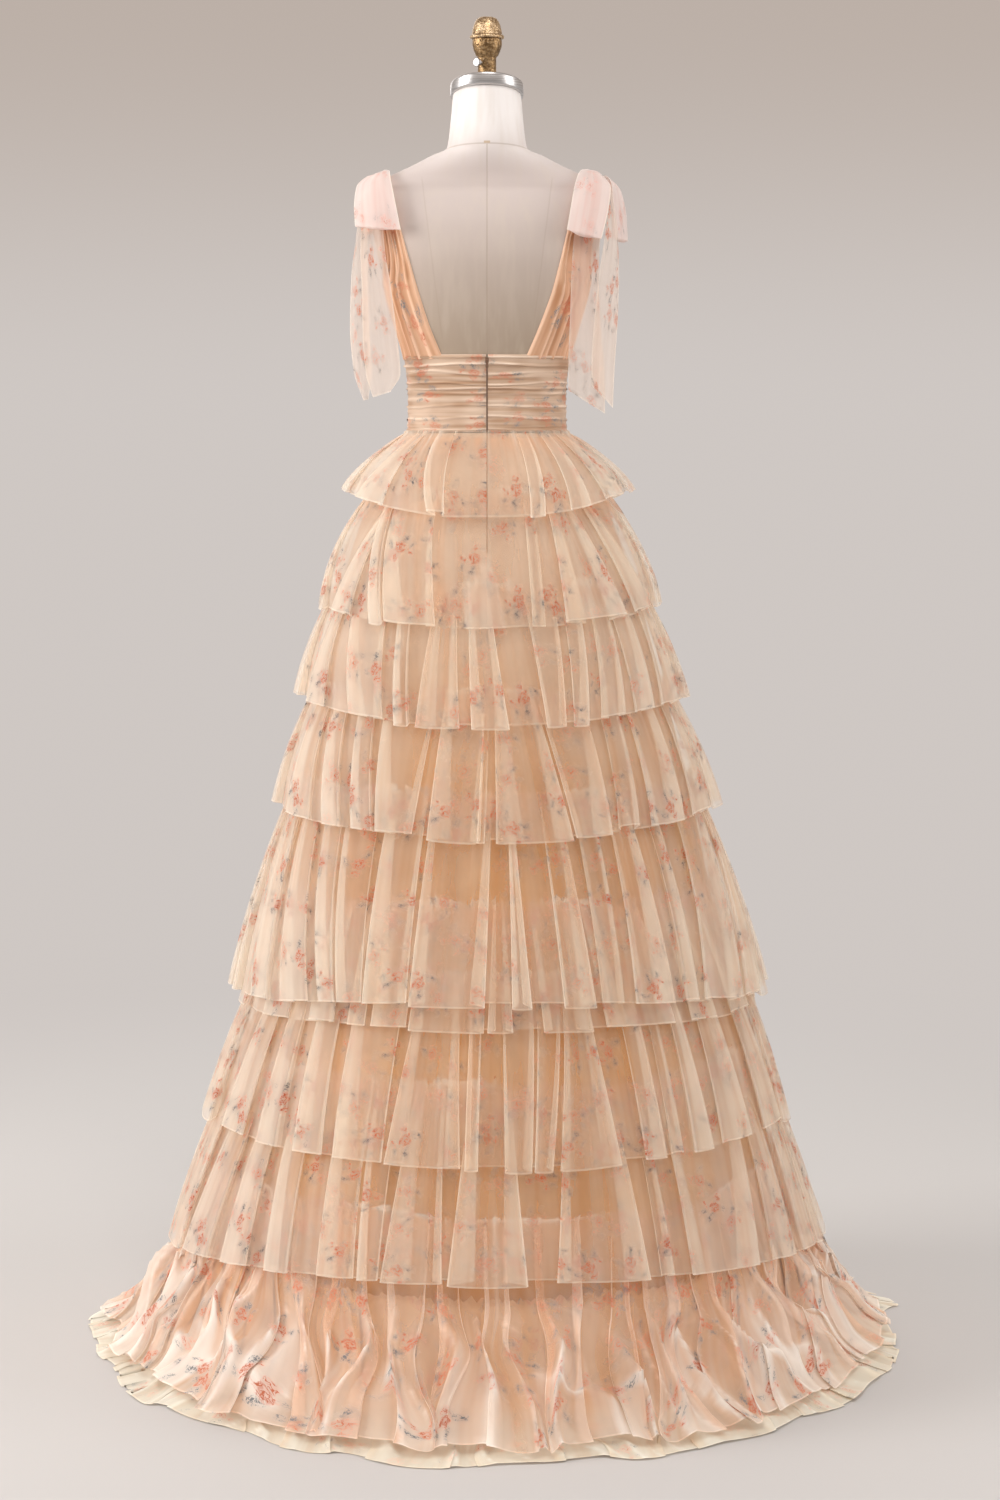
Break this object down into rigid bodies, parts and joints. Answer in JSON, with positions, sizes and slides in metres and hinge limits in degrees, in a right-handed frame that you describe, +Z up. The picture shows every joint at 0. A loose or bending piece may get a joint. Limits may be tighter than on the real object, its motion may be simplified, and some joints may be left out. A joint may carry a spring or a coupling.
{
  "type": "tiered tulle prom dress on a limbless dress form",
  "caption": "Floor-length gown of layered floral tulle tiers over a lining, with an open square back, ruched waistband, tied shoulder bows and a short train, on a limbless dress form.",
  "frame": {"origin": "centre of the stand's base, on the floor under the pole", "axes": "+Z up along the pole, +Y out of the garment's back, +X towards the wearer's left"},
  "size_m": [1.1804, 1.0798, 1.8888],
  "materials": {
    "tulle": "soft sheer printed tulle",
    "tulle_pale": "soft sheer printed tulle, one or two layers",
    "lining": "matte woven lining",
    "linen": "linen cover",
    "brushed_steel": "brushed",
    "bronze": "aged, hammered",
    "iron": "satin black",
    "zip_brown": "satin"
  },
  "bodies": {
    "gown_and_form": {"bodice_back_left": "tulle", "bodice_back_right": "tulle", "bodice_front_left": "tulle", "bodice_front_right": "tulle", "waistband_front": "tulle", "waistband_back_left": "tulle", "waistband_back_right": "tulle", "zip_chain": "zip_brown", "zip_slider": "zip_brown", "skirt_lining_front": "lining", "skirt_lining_back_left": "lining", "skirt_lining_back_right": "lining", "tier_1": "tulle", "tier_2": "tulle", "tier_3": "tulle", "tier_4": "tulle", "tier_5": "tulle", "tier_6": "tulle", "tier_7": "tulle", "tier_8": "tulle", "tier_9": "tulle_pale", "train_underlayer": "tulle_pale", "bow_left_knot": "tulle_pale", "bow_left_back_loop": "tulle_pale", "bow_left_front_loop": "tulle_pale", "bow_left_wide_tail": "tulle_pale", "bow_left_narrow_tail": "tulle_pale", "bow_right_knot": "tulle_pale", "bow_right_back_loop": "tulle_pale", "bow_right_front_loop": "tulle_pale", "bow_right_inner_tail": "tulle_pale", "bow_right_outer_tail": "tulle_pale", "form_torso": "linen", "neck_cap": "brushed_steel", "finial_stem": "bronze", "finial_cap": "bronze", "stand_pole": "iron", "stand_base": "iron"},
    "zip_pull_tab": {"zip_pull": "zip_brown"},
    "neck_screw": {"clamp_screw": "brushed_steel"}
  },
  "joints": [
    {"name": "zip_pull_swing", "type": "hinge", "parent": "gown_and_form", "child": "zip_pull_tab", "pos_m": [0, 0.08913, 1.404], "axis": [1, 0, 0], "range_deg": [0, 150]},
    {"name": "neck_screw_turn", "type": "hinge", "parent": "gown_and_form", "child": "neck_screw", "pos_m": [0.01338, 0.01486, 1.824], "axis": [0.6691, 0.7431, 0], "range_deg": [0, 360]}
  ]
}
